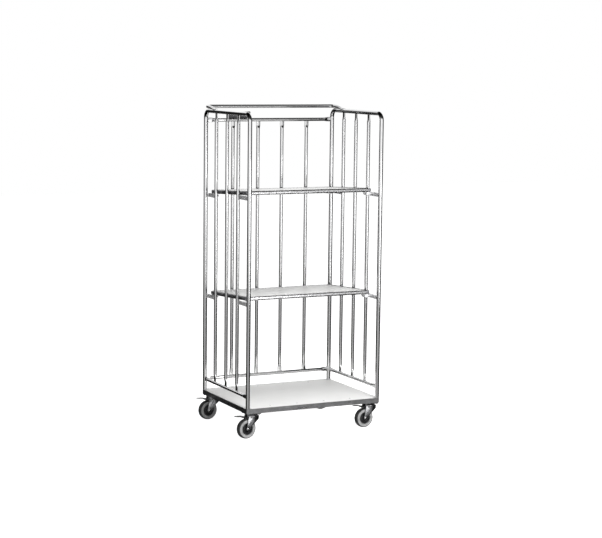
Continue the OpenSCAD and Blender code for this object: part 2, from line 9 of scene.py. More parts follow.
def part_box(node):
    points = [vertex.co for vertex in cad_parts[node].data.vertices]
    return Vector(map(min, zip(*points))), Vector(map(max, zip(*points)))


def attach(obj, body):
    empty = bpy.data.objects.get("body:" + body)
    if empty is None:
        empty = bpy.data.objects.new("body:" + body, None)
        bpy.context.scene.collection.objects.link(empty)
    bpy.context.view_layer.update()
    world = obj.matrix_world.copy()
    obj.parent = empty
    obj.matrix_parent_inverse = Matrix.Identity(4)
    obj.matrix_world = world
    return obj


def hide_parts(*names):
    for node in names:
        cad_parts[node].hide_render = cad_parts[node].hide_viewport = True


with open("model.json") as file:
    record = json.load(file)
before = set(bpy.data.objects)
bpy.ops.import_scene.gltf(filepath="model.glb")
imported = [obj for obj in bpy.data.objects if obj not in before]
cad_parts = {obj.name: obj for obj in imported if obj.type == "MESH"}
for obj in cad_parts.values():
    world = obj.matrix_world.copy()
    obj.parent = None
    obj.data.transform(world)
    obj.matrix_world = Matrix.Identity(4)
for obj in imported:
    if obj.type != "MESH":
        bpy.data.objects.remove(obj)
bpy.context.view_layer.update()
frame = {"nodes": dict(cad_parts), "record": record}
NODES = frame["nodes"]

# ---------------------------------------------------------------- sizes, in metres
def mid_height(node):
    """Height of the middle of a node, which is the axis of a rail."""
    lo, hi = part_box(node)
    return (lo.z + hi.z) / 2


deck_lo, deck_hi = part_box("deck_frame")
MX = (deck_lo.x + deck_hi.x) / 2          # middle of the deck; the casters reach out to -X
HX, HY = (deck_hi.x - deck_lo.x) / 2, (deck_hi.y - deck_lo.y) / 2
FRAME_Z, DECK_Z = deck_lo.z, deck_hi.z
PR, BR = 0.011, 0.009                     # post and bar radius
PX, PY = HX - PR, HY - PR                 # post axes
TOP_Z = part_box("left_side_frame")[1].z - PR
REAR_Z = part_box("rear_top_rail")[1].z - BR
LOW_Z, HIGH_Z = mid_height("back_lower_rail"), mid_height("back_upper_rail")
BEND = 0.036                              # centre line radius of the side frame bends
FLAT_W, FLAT_T = 0.0115, 0.0034           # half width and half thickness of a pressed end
SIDE_BARS = (-0.137, 0.0, 0.137)
BACK_BARS = (-0.212, -0.069, 0.069, 0.212)
SHELF_Z = {"upper": 1.217, "lower": 0.692}
SHELF_BACK, TILT = 0.017, math.radians(3.4)
PEG_R, PEG_Y, PEG_DROP = 0.006, 0.222, 0.027
CAST_X, CAST_Y = 0.332, 0.245             # swivel axes from the middle of the deck
CORNERS = [(sx, sy) for sx in (-1, 1) for sy in (-1, 1)]
EX, EY, EZ = Vector((1, 0, 0)), Vector((0, 1, 0)), Vector((0, 0, 1))


def placed(x, y, z, degrees=0, axis="Z"):
    """A turn about one axis, then a move to (x, y, z)."""
    return Matrix.Translation(Vector((x, y, z))) @ Matrix.Rotation(math.radians(degrees), 4, axis)


# ---------------------------------------------------------------- camera
def camera():
    """The photo's viewpoint: in front, well to the left, a little above."""
    cam = bpy.data.cameras.new("Camera")
    obj = bpy.data.objects.new("Camera", cam)
    bpy.context.scene.collection.objects.link(obj)
    az, el, roll = math.radians(-26.19), math.radians(7.18), math.radians(0.68)
    back = Vector((math.sin(az) * math.cos(el), -math.cos(az) * math.cos(el), math.sin(el)))
    right = Vector((math.cos(az), math.sin(az), 0))
    up = back.cross(right)
    x = right * math.cos(roll) + up * math.sin(roll)
    y = up * math.cos(roll) - right * math.sin(roll)
    m = Matrix((x, y, back)).transposed().to_4x4()
    m.translation = Vector((MX - 3.776, -7.790, 1.896))
    obj.matrix_world = m
    cam.sensor_width = 36
    cam.lens = 101.4
    cam.clip_start, cam.clip_end = 0.1, 60
    bpy.context.scene.camera = obj


camera()


# ---------------------------------------------------------------- materials
class Mat:
    """A principled material with its nodes laid out in object space."""

    def __init__(self, name, rough=0.4, metal=0.0, spec=None):
        self.m = bpy.data.materials.new(name)
        self.m.use_nodes = True
        self.t = self.m.node_tree
        self.n = self.t.nodes
        self.p = self.n["Principled BSDF"]
        self.p.inputs["Metallic"].default_value = metal
        self.p.inputs["Roughness"].default_value = rough
        if spec is not None:
            self.p.inputs["Specular IOR Level"].default_value = spec
        self.tc = self.n.new("ShaderNodeTexCoord")

    def link(self, a, b):
        self.t.links.new(a, b)

    def space(self, scale=(1, 1, 1)):
        k = self.n.new("ShaderNodeMapping")
        k.inputs["Scale"].default_value = scale
        self.link(self.tc.outputs["Object"], k.inputs["Vector"])
        return k.outputs["Vector"]

    def noise(self, scale, detail=4, rough=0.6, stretch=(1, 1, 1), distort=0.0):
        k = self.n.new("ShaderNodeTexNoise")
        k.inputs["Scale"].default_value = scale
        k.inputs["Detail"].default_value = detail
        k.inputs["Roughness"].default_value = rough
        k.inputs["Distortion"].default_value = distort
        self.link(self.space(stretch), k.inputs["Vector"])
        return k.outputs["Fac"]

    def cells(self, scale):
        k = self.n.new("ShaderNodeTexVoronoi")
        k.inputs["Scale"].default_value = scale
        self.link(self.space(), k.inputs["Vector"])
        return k.outputs["Distance"]

    def ramp(self, fac, stops):
        k = self.n.new("ShaderNodeValToRGB")
        e = k.color_ramp.elements
        while len(e) < len(stops):
            e.new(0.5)
        for el, (pos, col) in zip(e, stops):
            el.position = pos
            c = col if isinstance(col, tuple) else (col, col, col)
            el.color = (*c, 1)
        self.link(fac, k.inputs["Fac"])
        return k.outputs["Color"]

    def mix(self, fac, a, b, mode="MIX"):
        k = self.n.new("ShaderNodeMix")
        k.data_type = "RGBA"
        k.blend_type = mode
        for i, v in ((0, fac), (6, a), (7, b)):
            s = k.inputs[i]
            if isinstance(v, (int, float)):
                s.default_value = v if i == 0 else (v, v, v, 1)
            elif isinstance(v, tuple):
                s.default_value = (*v, 1)
            else:
                self.link(v, s)
        return k.outputs[2]

    def math(self, op, a, b):
        k = self.n.new("ShaderNodeMath")
        k.operation = op
        for s, v in zip(k.inputs, (a, b)):
            if isinstance(v, (int, float)):
                s.default_value = v
            else:
                self.link(v, s)
        return k.outputs[0]

    def color(self, c):
        self.link(c, self.p.inputs["Base Color"])

    def rough(self, c):
        self.link(c, self.p.inputs["Roughness"])

    def bump(self, height, strength=0.2, dist=0.001):
        k = self.n.new("ShaderNodeBump")
        k.inputs["Strength"].default_value = strength
        k.inputs["Distance"].default_value = dist
        self.link(height, k.inputs["Height"])
        if self.p.inputs["Normal"].is_linked:
            self.link(self.p.inputs["Normal"].links[0].from_socket, k.inputs["Normal"])
        self.link(k.outputs["Normal"], self.p.inputs["Normal"])


def plated(name, light, dark, rough=(0.16, 0.34), stretch=(1, 1, 0.12), spots=0.25, metal=1.0):
    """Bright plated steel: cloudy plating, drawn-tube streaks, a few dull specks."""
    m = Mat(name, metal=metal)
    cloud = m.noise(26, 5, 0.6)
    streak = m.noise(240, 3, 0.5, stretch)
    base = m.mix(m.ramp(cloud, [(0.3, 0.0), (0.7, 1.0)]), dark, light)
    base = m.mix(m.ramp(streak, [(0.45, 0.0), (0.75, 0.22)]), base, dark)
    speck = m.ramp(m.noise(420, 2, 0.5), [(0.66, 0.0), (0.72, spots)])
    base = m.mix(speck, base, tuple(c * 0.55 for c in dark))
    m.color(base)
    m.rough(m.mix(m.ramp(m.noise(60, 4, 0.7, stretch), [(0.3, 0.0), (0.75, 1.0)]), rough[0], rough[1]))
    m.bump(streak, 0.006, 0.0002)
    m.bump(m.noise(900, 2, 0.5), 0.004, 0.0001)
    return m.m


def laminate(name):
    """Pale board: faint fibre and fine grain, with broad scuffs."""
    m = Mat(name, rough=0.38, spec=0.25)
    broad = m.noise(3.2, 3, 0.5)
    fine = m.noise(520, 4, 0.7)
    fibre = m.noise(70, 4, 0.6, (0.15, 1, 1))
    c = m.mix(m.ramp(broad, [(0.3, 0.0), (0.7, 1.0)]), (0.84, 0.84, 0.83), (0.90, 0.90, 0.89))
    c = m.mix(m.ramp(fine, [(0.42, 0.0), (0.7, 0.18)]), c, (0.76, 0.76, 0.75))
    c = m.mix(m.ramp(fibre, [(0.5, 0.0), (0.8, 0.20)]), c, (0.93, 0.93, 0.92))
    scuff = m.ramp(m.noise(9, 6, 0.75, (1, 3, 1), 1.2), [(0.58, 0.0), (0.7, 0.35)])
    c = m.mix(scuff, c, (0.74, 0.74, 0.74))
    m.color(c)
    m.rough(m.mix(scuff, 0.34, 0.55))
    m.bump(fine, 0.05, 0.0003)
    return m.m


def rubber(name, light, dark):
    """Dusty rubber, worn unevenly."""
    m = Mat(name, rough=0.6, spec=0.35)
    dust = m.noise(34, 6, 0.7)
    c = m.mix(m.ramp(dust, [(0.35, 0.0), (0.7, 1.0)]), dark, light)
    c = m.mix(m.ramp(m.noise(260, 3, 0.6), [(0.55, 0.0), (0.75, 0.5)]), c, tuple(v * 0.6 for v in dark))
    m.color(c)
    m.rough(m.mix(m.ramp(dust, [(0.3, 0.0), (0.7, 1.0)]), 0.45, 0.72))
    m.bump(m.noise(700, 3, 0.6), 0.15, 0.0003)
    return m.m


def moulded(name, light, dark, rough=(0.34, 0.5)):
    """Moulded plastic with a fine spark-eroded grain."""
    m = Mat(name, rough=0.42, spec=0.45)
    c = m.mix(m.ramp(m.noise(45, 4, 0.6), [(0.35, 0.0), (0.7, 1.0)]), dark, light)
    m.color(c)
    m.rough(m.mix(m.ramp(m.noise(120, 3), [(0.3, 0.0), (0.7, 1.0)]), rough[0], rough[1]))
    m.bump(m.cells(1500), 0.12, 0.0002)
    return m.m


def brushed(name, light, dark, stretch, rough=(0.22, 0.36)):
    """Metal with drawing lines along the stretched axis and a few dull patches."""
    m = Mat(name, metal=1.0)
    lines = m.noise(300, 4, 0.6, stretch)
    c = m.mix(m.ramp(lines, [(0.35, 0.0), (0.7, 1.0)]), dark, light)
    c = m.mix(m.ramp(m.noise(18, 4, 0.7), [(0.6, 0.0), (0.8, 0.35)]), c, tuple(v * 0.7 for v in dark))
    m.color(c)
    m.rough(m.mix(m.ramp(m.noise(40, 4), [(0.3, 0.0), (0.7, 1.0)]), rough[0], rough[1]))
    m.bump(lines, 0.03, 0.0003)
    return m.m


def painted(name, base, worn):
    """Matt paint with orange peel and worn patches."""
    m = Mat(name, rough=0.5, spec=0.12)
    orange = m.noise(380, 2, 0.5)
    c = m.mix(m.ramp(m.noise(30, 5, 0.7), [(0.62, 0.0), (0.75, 0.4)]), base, worn)
    m.color(c)
    m.rough(m.mix(m.ramp(m.noise(90, 3), [(0.3, 0.0), (0.7, 1.0)]), 0.40, 0.55))
    m.bump(orange, 0.04, 0.0003)
    return m.m


TUBE = plated("plated_tube", (0.86, 0.86, 0.86), (0.76, 0.76, 0.77), (0.06, 0.13), (1, 1, 0.05), 0.05)
FRAME = plated("zinc_frame", (0.66, 0.66, 0.67), (0.46, 0.46, 0.47), (0.24, 0.38), (0.1, 0.1, 1))
SUPPORT = plated("zinc_support", (0.80, 0.80, 0.81), (0.66, 0.66, 0.67), (0.34, 0.5), (1, 0.3, 1), 0.2, 0.35)
CASTER = plated("zinc_pressing", (0.50, 0.50, 0.51), (0.34, 0.34, 0.35), (0.20, 0.34), (1, 1, 0.4))
BOLT = plated("zinc_bolt", (0.80, 0.80, 0.80), (0.58, 0.58, 0.58), (0.16, 0.30), (1, 1, 1))
PEDAL = plated("zinc_pedal", (0.40, 0.40, 0.40), (0.24, 0.24, 0.25), (0.20, 0.34), (0.3, 1, 1))
LAMINATE = laminate("pale_laminate")
EDGE = brushed("satin_edge", (0.84, 0.84, 0.85), (0.68, 0.68, 0.69), (0.02, 1, 1))
SIDE = brushed("dark_side", (0.30, 0.30, 0.31), (0.20, 0.20, 0.21), (1, 0.02, 1), (0.3, 0.45))
CAP = moulded("cap_moulding", (0.20, 0.20, 0.21), (0.13, 0.13, 0.14))
TYRE = rubber("grey_rubber", (0.33, 0.33, 0.33), (0.17, 0.17, 0.17))
CORE = moulded("black_moulding", (0.022, 0.022, 0.023), (0.010, 0.010, 0.011))
LABEL = painted("black_label", (0.010, 0.010, 0.011), (0.026, 0.026, 0.027))

SLOT_MAT = {
    "frame_zinc": FRAME, "laminate": LAMINATE, "edge_aluminium": EDGE, "side_steel": SIDE,
    "cap_plastic": CAP, "label_black": LABEL, "caster_zinc": CASTER, "pedal_steel": PEDAL,
    "tyre_rubber": TYRE, "wheel_plastic": CORE, "bolt_zinc": BOLT, "support_zinc": SUPPORT,
    "tube_zinc": TUBE,
}
SLOT_OF = {s["node"]: s["material_slot"] for s in frame["record"]["subparts"]}
for node_name, obj in NODES.items():
    finish = SLOT_MAT[SLOT_OF[node_name]]
    if not obj.material_slots:
        obj.data.materials.append(finish)
    for ms in obj.material_slots:
        ms.material = finish


# ---------------------------------------------------------------- mesh tools
def superellipse(t, power):
    """Point at angle t of a unit outline: round at power 2, squarer above it."""
    x, y = math.cos(t), math.sin(t)
    return math.copysign(abs(x) ** (2.0 / power), x), math.copysign(abs(y) ** (2.0 / power), y)


class Build:
    """Collects rings and faces for one piece."""

    def __init__(self):
        self.v, self.f = [], []

    def ring(self, pts):
        start = len(self.v)
        self.v += [tuple(p) for p in pts]
        return list(range(start, start + len(pts)))

    def skin(self, rings, cap=True):
        for a, b in zip(rings, rings[1:]):
            n = len(a)
            for i in range(n):
                self.f.append((a[i], a[(i + 1) % n], b[(i + 1) % n], b[i]))
        if cap:
            self.f.append(tuple(reversed(rings[0])))
            self.f.append(tuple(rings[-1]))

    def loft(self, sections, n=32, cap=True):
        """sections: (centre, u, v, a, b, power) with a along u and b along v."""
        rings = []
        for c, u, v, a, b, p in sections:
            pts = []
            for i in range(n):
                x, y = superellipse(2 * math.pi * i / n, p)
                pts.append(c + u * (a * x) + v * (b * y))
            rings.append(self.ring(pts))
        self.skin(rings, cap)
        return rings

    def sweep(self, path, r, n=32, cap=True, side=Vector((1, 0, 0))):
        """Round tube along points that stay in the plane whose normal is side, or near it."""
        secs = []
        for i, p in enumerate(path):
            a = path[max(i - 1, 0)]
            b = path[min(i + 1, len(path) - 1)]
            t = (b - a).normalized()
            u = (side - t * side.dot(t)).normalized()
            rr = r(i / (len(path) - 1)) if callable(r) else r
            secs.append((p, u, t.cross(u), rr, rr, 2))
        return self.loft(secs, n, cap)

    def lathe(self, profile, origin, axis, n=64):
        """Closed profile of (radius, along) turned round axis."""
        axis = axis.normalized()
        u = axis.orthogonal().normalized()
        w = axis.cross(u)
        rings = []
        for k in range(n):
            t = 2 * math.pi * k / n
            d = u * math.cos(t) + w * math.sin(t)
            rings.append(self.ring([origin + d * r + axis * h for r, h in profile]))
        m = len(profile)
        for k in range(n):
            a, b = rings[k], rings[(k + 1) % n]
            for i in range(m):
                j = (i + 1) % m
                self.f.append((a[i], a[j], b[j], b[i]))

    def plate(self, outline, lift, thick, place=Matrix.Identity(4)):
        """outline: points (x, y); a plate from z = lift to lift + thick, put in place by a matrix."""
        lo = self.ring([place @ Vector((x, y, lift)) for x, y in outline])
        hi = self.ring([place @ Vector((x, y, lift + thick)) for x, y in outline])
        self.skin([lo, hi])

    def bead(self, centre, u, v, a, b, r, n=40, power=2.0, seed=0.0):
        """Weld bead round an opening a by b, lumpy as a hand-laid weld is."""
        rings = []
        nrm = u.cross(v).normalized()
        for i in range(n):
            x, y = superellipse(2 * math.pi * i / n, power)
            d = u * (a * x) + v * (b * y)
            out = d.normalized()
            rr = r * (1 + 0.22 * noise.noise(Vector((i * 0.9, seed, 3.1))))
            rings.append(self.ring([centre + d + out * (rr * math.cos(s)) + nrm * (rr * math.sin(s))
                                    for s in [2 * math.pi * k / 8 for k in range(8)]]))
        for i in range(n):
            p, q = rings[i], rings[(i + 1) % n]
            for k in range(8):
                self.f.append((p[k], p[(k + 1) % 8], q[(k + 1) % 8], q[k]))

    def done(self, name, mat, body, slot, *replaced, bevel=0.0, sharp=35):
        """Turns what was collected into an object that rides on body and stands for the replaced nodes."""
        me = bpy.data.meshes.new(name)
        me.from_pydata(self.v, [], self.f)
        me.validate()
        bm = bmesh.new()
        bm.from_mesh(me)
        bmesh.ops.recalc_face_normals(bm, faces=bm.faces)
        bm.to_mesh(me)
        bm.free()
        me.shade_smooth()
        me.set_sharp_from_angle(angle=math.radians(sharp))
        obj = bpy.data.objects.new(name, me)
        bpy.context.scene.collection.objects.link(obj)
        me.materials.append(mat)
        if bevel:
            soften(obj, bevel)
        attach(obj, body)
        if replaced:
            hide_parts(*replaced)
        return obj


def soften(obj, width):
    """Small rounded edges, as a bevel modifier."""
    b = obj.modifiers.new("edge", "BEVEL")
    b.width = width
    b.segments = 2
    b.limit_method = "ANGLE"
    b.angle_limit = math.radians(38)
    b.harden_normals = False


def ease(t):
    """Smooth step from 0 to 1, held at both ends."""
    t = min(max(t, 0), 1)
    return t * t * (3 - 2 * t)


def pressed(build, a, b, wide):
    """Round bar from a to b whose ends are pressed flat, wide along the given direction."""
    t = (b - a).normalized()
    other = t.cross(wide)
    length = (b - a).length
    flat, end = 0.022, 0.042              # the flat ends, and the tube is round again
    marks = [0.0, 0.012, flat, 0.026, 0.030, 0.034, 0.038, end]

    def section(s, centre):
        k = ease((s - flat) / 0.020)
        w, h = FLAT_W + (BR - FLAT_W) * k, FLAT_T + (BR - FLAT_T) * k
        return (centre, wide, other, w, h, 3.4 + (2 - 3.4) * k)

    secs = [section(s, a + t * s) for s in marks]
    for i in range(1, 8):
        secs.append((a + t * (end + (length - 2 * end) * i / 8), wide, other, BR, BR, 2))
    secs += [section(s, b - t * s) for s in reversed(marks)]
    build.loft(secs, 32)


def flat_weld(at, along, across, seed):
    """Weld bead round a pressed end."""
    welds.bead(at, along, across, FLAT_W, FLAT_T, 0.0012, power=3, seed=seed)


# ---------------------------------------------------------------- tube work
WELD = plated("weld_metal", (0.46, 0.46, 0.46), (0.26, 0.26, 0.26), (0.38, 0.6), (1, 1, 1), 0.5)
welds = Build()

for name, sx in (("left", -1), ("right", 1)):
    x = MX + sx * PX
    path = []
    for k in range(9):
        path.append(Vector((x, -PY, DECK_Z + (TOP_Z - BEND - DECK_Z) * k / 8)))
    for k in range(1, 13):
        a = math.pi / 2 * k / 12
        path.append(Vector((x, -PY + BEND - BEND * math.cos(a), TOP_Z - BEND + BEND * math.sin(a))))
    for k in range(1, 6):
        path.append(Vector((x, -PY + BEND + (2 * PY - 2 * BEND) * k / 6, TOP_Z)))
    path += [Vector((x, -p.y, p.z)) for p in reversed(path[:21])]
    b = Build()
    b.sweep(path, PR, 36, side=EX)
    b.done(f"{name}_frame_tube", TUBE, "chassis", "tube_zinc", f"{name}_side_frame")
    for sy in (-1, 1):
        foot = Vector((x, sy * PY, DECK_Z + 0.0005))
        welds.bead(foot, EX, EY, PR - 0.0018, PR - 0.0018, 0.0010, seed=sx + sy)

    b = Build()
    pressed(b, Vector((x, -PY + PR * 0.6, LOW_Z)), Vector((x, PY - PR * 0.6, LOW_Z)), EZ)
    b.done(f"{name}_low_rail_tube", TUBE, "chassis", "tube_zinc", f"{name}_lower_rail")
    for sy in (-1, 1):
        flat_weld(Vector((x, sy * (PY - PR * 0.93), LOW_Z)), EZ, EX, sy * 2.0)

    b = Build()
    for k, y in zip((-1, 0, 1), SIDE_BARS):
        pressed(b, Vector((x, y, LOW_Z + BR * 0.6)), Vector((x, y, TOP_Z - PR * 0.6)), EY)
        flat_weld(Vector((x, y, LOW_Z + BR * 0.92)), EY, EX, k + 5.0)
        flat_weld(Vector((x, y, TOP_Z - PR * 0.93)), EY, EX, k + 9.0)
    b.done(f"{name}_bar_tubes", TUBE, "chassis", "tube_zinc", f"{name}_bars")

for name, z in (("upper", HIGH_Z), ("lower", LOW_Z)):
    b = Build()
    pressed(b, Vector((MX - PX + PR * 0.6, PY, z)), Vector((MX + PX - PR * 0.6, PY, z)), EZ)
    b.done(f"back_{name}_rail_tube", TUBE, "chassis", "tube_zinc", f"back_{name}_rail")
    for sx in (-1, 1):
        flat_weld(Vector((MX + sx * (PX - PR * 0.93), PY, z)), EZ, EY, sx * 3.0)

b = Build()
for x in BACK_BARS:
    pressed(b, Vector((MX + x, PY, LOW_Z + BR * 0.6)), Vector((MX + x, PY, HIGH_Z - BR * 0.6)), EX)
    for z in (LOW_Z + BR * 0.92, HIGH_Z - BR * 0.92):
        flat_weld(Vector((MX + x, PY, z)), EX, EY, x * 10)
b.done("back_bar_tubes", TUBE, "chassis", "tube_zinc", "back_bars")


def rear_rail():
    """Across the back, round both corners, and down on to the side rails with pressed ends."""
    turn, run, fall = 0.026, 0.108, 0.0135
    half = PX - turn
    pts = []
    for k in range(11):
        s = k / 10
        y = PY - turn - run * (1 - s)
        pts.append((Vector((MX - PX, y, REAR_Z - fall * ease(1 - s))), 1 - s))
    for k in range(1, 12):
        a = math.pi / 2 * k / 12
        pts.append((Vector((MX - PX + turn - turn * math.cos(a), PY - turn + turn * math.sin(a), REAR_Z)), 0))
    for k in range(13):
        pts.append((Vector((MX - half + 2 * half * k / 12, PY, REAR_Z)), 0))
    pts += [(Vector((2 * MX - q.x, q.y, q.z)), f) for q, f in reversed(pts[:21])]
    b = Build()
    secs = []
    for i, (p, f) in enumerate(pts):
        t = (pts[min(i + 1, len(pts) - 1)][0] - pts[max(i - 1, 0)][0]).normalized()
        u = t.cross(EZ).normalized()
        v = u.cross(t)
        k = ease((f - 0.55) / 0.40)
        secs.append((p, u, v, BR + 0.0018 * k, BR - 0.0042 * k, 2 + 0.8 * k))
    b.loft(secs, 32)
    b.done("rear_rail_tube", TUBE, "chassis", "tube_zinc", "rear_top_rail")
    for sx in (-1, 1):
        end = Vector((MX + sx * PX, PY - turn - run + 0.004, TOP_Z + PR - 0.0012))
        welds.bead(end, EX, EY, 0.0095, 0.006, 0.0014, seed=sx * 7.0)


rear_rail()
welds.done("weld_beads", WELD, "chassis", "frame_zinc")


# ---------------------------------------------------------------- deck and panel details
def hexagon(b, place, r, z0, z1, turn=0.0):
    """Hex head or nut with its corners chamfered at the top."""
    dome = 0.0009
    rings = []
    for z, k in ((z0, 1.0), (z1 - dome, 1.0), (z1 - dome * 0.4, 0.96), (z1, 0.84)):
        angles = [turn + math.pi / 3 * i for i in range(6)]
        rings.append(b.ring([place @ Vector((r * k * math.cos(a), r * k * math.sin(a), z)) for a in angles]))
    b.skin(rings)


def disc(b, place, profile, n=32):
    """Turned piece round local Z from (radius, z) pairs, closed at both ends."""
    rings = [b.ring([place @ Vector((r * math.cos(2 * math.pi * i / n), r * math.sin(2 * math.pi * i / n), z))
                     for i in range(n)]) for r, z in profile]
    b.skin(rings)


def rounded(w, h, r, n=6):
    """Outline of a w by h rectangle with corners of radius r, centred."""
    pts = []
    for cx, cy, a0 in ((w / 2 - r, h / 2 - r, 0), (-w / 2 + r, h / 2 - r, 90), (-w / 2 + r, -h / 2 + r, 180),
                       (w / 2 - r, -h / 2 + r, 270)):
        for k in range(n + 1):
            a = math.radians(a0 + 90 * k / n)
            pts.append((cx + r * math.cos(a), cy + r * math.sin(a)))
    return pts


# weld runs round the corner blocks of the deck frame, near the bottom and near the top
b = Build()
for sx, sy in CORNERS:
    for z in (FRAME_Z + 0.004, DECK_Z - 0.0012):
        steps = 14
        c = Vector((MX + sx * PX, sy * PY, z))
        secs = []
        for k in range(steps + 1):
            a = math.radians(8 + 74 * k / steps)
            d = Vector((sx * math.cos(a), sy * math.sin(a), 0))
            w = 0.0011 * (1 + 0.3 * noise.noise(Vector((k * 0.8, sx * 3.0, sy * 5.0 + z * 90))))
            secs.append((c + d * (PR - 0.0009), d, EZ, w, w * 1.3, 2))
        b.loft(secs, 8)
b.done("corner_welds", WELD, "chassis", "frame_zinc", sharp=60)

# label plate: panel, a raised field on each face, two bent clips round the rail, and rivets
lab_lo, lab_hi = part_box("label_plate")
b = Build()
plate_w = lab_hi.x - lab_lo.x
mid = (lab_lo.x + lab_hi.x) / 2
base = HIGH_Z + BR
tall = lab_hi.z - base
turned = placed(mid, PY - 0.001, base + tall / 2, 90, "X")
b.plate(rounded(plate_w, tall, 0.004), -0.002, 0.002, turned)
rim = Build()
for lift in (0.0, -0.0024):
    rim.plate(rounded(plate_w - 0.006, tall - 0.006, 0.003), lift, 0.0004, turned)
b.done("label_panel", LABEL, "chassis", "label_black", "label_plate", bevel=0.0004)
LABEL_IN = painted("label_field", (0.035, 0.035, 0.037), (0.10, 0.10, 0.10))
rim.done("label_field", LABEL_IN, "chassis", "label_black")
b = Build()
for sx in (-1, 1):
    x = mid + sx * 0.040
    secs = []
    for k in range(15):
        a = math.radians(-62 + 304 * k / 14)
        d = Vector((0, math.cos(a), math.sin(a)))
        secs.append((Vector((x, PY, HIGH_Z)) + d * (BR + 0.0009), EX, d, 0.006, 0.0007, 3))
    b.loft(secs, 12)
    rivet = placed(mid + sx * (plate_w / 2 - 0.008), PY - 0.001, base + tall - 0.008, 90, "X")
    disc(b, rivet, [(0.0016, -0.0035), (0.0016, 0.0001), (0.0028, 0.0001), (0.0026, 0.0007),
                    (0.0014, 0.0011)], 20)
b.done("label_clips", BOLT, "chassis", "label_black")


# ---------------------------------------------------------------- support plates
def support_plates(name):
    """Plates between a post and the next bar: notched on top, arched underneath, welded down both ends."""
    node, zc = name + "_supports", SHELF_Z[name]
    r, tall, half = PEG_R + 0.0004, 0.025, 0.002
    b = Build()
    for sx in (-1, 1):
        for s in (-1, 1):
            yr = SHELF_BACK + s * PEG_Y * math.cos(TILT) - PEG_DROP * math.sin(TILT)
            zr = zc - s * PEG_Y * math.sin(TILT) - PEG_DROP * math.cos(TILT)
            top = zr + (0.0045 if s < 0 else 0.012)
            bottom = top - tall
            y0, y1 = SIDE_BARS[2] + BR * 0.93, PY - PR * 0.93
            if s < 0:
                y0, y1 = -y1, -y0
            out = [(y0, bottom)]
            for side, y in ((-1, y0), (1, y1)):
                arc = [(y - side * (0.003 + 0.008 * (1 - math.cos(math.pi / 2 * k / 8))),
                        bottom + 0.005 * math.sin(math.pi / 2 * k / 8)) for k in range(9)]
                out += arc if side < 0 else arc[::-1]
            out += [(y1, bottom), (y1, top - 0.002), (y1 - 0.002, top),
                    (yr + r + 0.0016, top), (yr + r, top - 0.0016)]
            for k in range(13):
                a = -math.pi * k / 12
                out.append((yr + r * math.cos(a), zr + r * math.sin(a)))
            out += [(yr - r, top - 0.0016), (yr - r - 0.0016, top), (y0 + 0.002, top), (y0, top - 0.002)]
            # the outline's x and y become Y and Z, and its thickness X
            stand = Matrix((Vector((0, 0, 1, MX + sx * PX)), Vector((1, 0, 0, 0)),
                            Vector((0, 1, 0, 0)), Vector((0, 0, 0, 1))))
            b.plate(out, -half, 2 * half, stand)
            for y, d in ((y0, 1), (y1, -1)):
                for side in (-1, 1):
                    secs = []
                    for k in range(11):
                        z = bottom + 0.002 + (top - bottom - 0.004) * k / 10
                        w = 0.0013 * (1 + 0.3 * noise.noise(Vector((k * 0.7, y * 40, side + zc * 9))))
                        c = Vector((MX + sx * PX + side * 0.0023, y + d * 0.0006, z))
                        secs.append((c, EX, EY, w, w, 2))
                    b.loft(secs, 8)
    b.done(node + "_plates", SUPPORT, "chassis", "support_zinc", node, bevel=0.0004)


support_plates("upper")
support_plates("lower")


